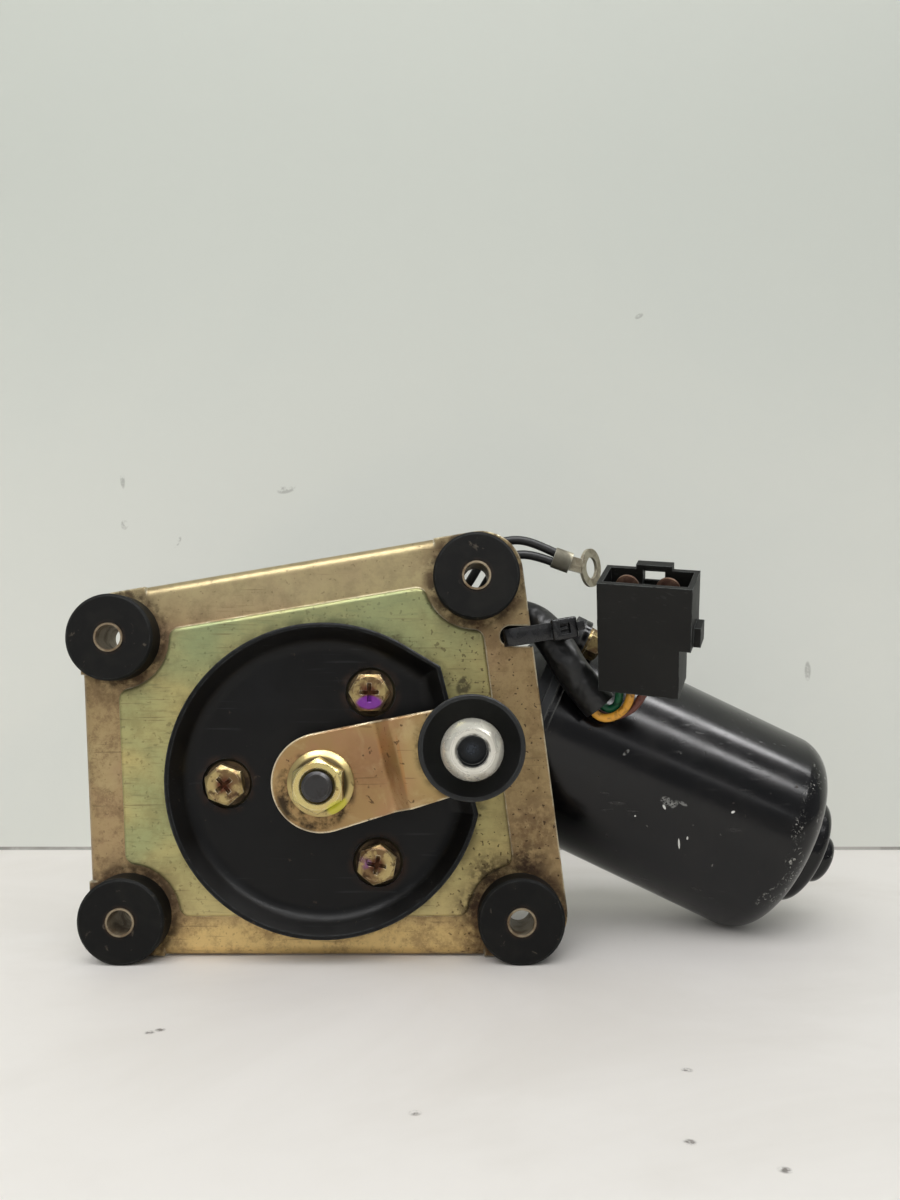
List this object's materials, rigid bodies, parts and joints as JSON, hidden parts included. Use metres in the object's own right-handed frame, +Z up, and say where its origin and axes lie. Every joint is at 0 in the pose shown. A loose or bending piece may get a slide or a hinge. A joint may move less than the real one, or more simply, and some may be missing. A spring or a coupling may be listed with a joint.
{
  "type": "wiper motor",
  "caption": "Windscreen wiper motor on a pressed bracket with rubber mounts, a worm gear, a joggled crank arm with ball stud, and a lead with connector.",
  "frame": {"origin": "centre of the underside of the bounding box, without the lead and its connector", "axes": "+Z up as it stands on its lower grommets, -Y towards the crank's side, +X towards the motor can"},
  "size_m": [0.2282, 0.1096, 0.1209],
  "materials": {
    "yellow_zinc": "yellow zinc plated, satin",
    "black_can": "gloss black",
    "rubber": "matt",
    "steel": "machined",
    "zinc_steel": "zinc plated",
    "die_cast": "as cast",
    "cover_steel": "pressed",
    "bronze": "sintered",
    "brass": "bright",
    "copper": "enamelled wire and bare bars",
    "ferrite": "matt",
    "core_steel": "laminated",
    "wheel_plastic": "moulded",
    "black_plastic": "moulded",
    "brown_board": "pressed board",
    "carbon": "carbon",
    "yellow_wire": "PVC",
    "green_wire": "PVC",
    "brown_wire": "PVC",
    "tinned": "tin plated",
    "ball_coat": "satin light grey"
  },
  "bodies": {
    "motor": {"bracket_plate": "yellow_zinc", "shaft_seal": "rubber", "flat_washers": "zinc_steel", "spring_washers": "zinc_steel", "bracket_screws": "yellow_zinc", "contact_plate": "brown_board", "park_contacts": "brass", "front_bush": "bronze", "rear_bush": "bronze", "thrust_washer": "steel", "gear_housing": "die_cast", "gear_cover": "cover_steel", "cover_gasket": "rubber", "cover_screws": "zinc_steel", "motor_yoke": "black_can", "magnets": "ferrite", "worm_end_bush": "bronze", "middle_bush": "bronze", "bush_retainer": "steel", "tail_bush": "bronze", "thrust_ball": "steel", "thrust_screw": "zinc_steel", "thrust_lock_nut": "zinc_steel", "brush_holder": "brown_board", "brushes": "carbon", "brush_springs": "brass", "yoke_screws": "yellow_zinc", "yoke_washers": "yellow_zinc", "cable_grommet": "rubber", "harness_sheath": "black_plastic", "wire_yellow": "yellow_wire", "wire_green": "green_wire", "wire_brown": "brown_wire", "earth_wire_upper": "black_plastic", "earth_wire_lower": "black_plastic", "earth_terminal": "tinned", "connector_housing": "black_plastic", "connector_blades": "brass", "cable_tie": "black_plastic", "grommet_tl": "rubber", "sleeve_tl": "zinc_steel", "grommet_tr": "rubber", "sleeve_tr": "zinc_steel", "grommet_bl": "rubber", "sleeve_bl": "zinc_steel", "grommet_br": "rubber", "sleeve_br": "zinc_steel"},
    "crank": {"output_shaft": "steel", "crank_arm": "yellow_zinc", "crank_nut": "yellow_zinc", "ball_stud": "ball_coat", "ball_boot": "rubber", "worm_wheel": "wheel_plastic", "park_disc": "brass", "shaft_clip": "steel"},
    "armature": {"armature_shaft": "steel", "armature_core": "core_steel", "armature_windings": "copper", "commutator": "copper"}
  },
  "joints": [
    {"name": "crank_spin", "type": "hinge", "parent": "motor", "child": "crank", "pos_m": [-0.04306, -0.01882, 0.0508], "axis": [0, -1, 0], "continuous": true},
    {"name": "armature_spin", "type": "hinge", "parent": "motor", "child": "armature", "pos_m": [-0.02648, 0.02018, 0.08555], "axis": [0.9026, 0, -0.4305], "continuous": true}
  ],
  "couplings": [
    {"joint": "armature_spin", "follows": "crank_spin", "ratio": 50}
  ]
}
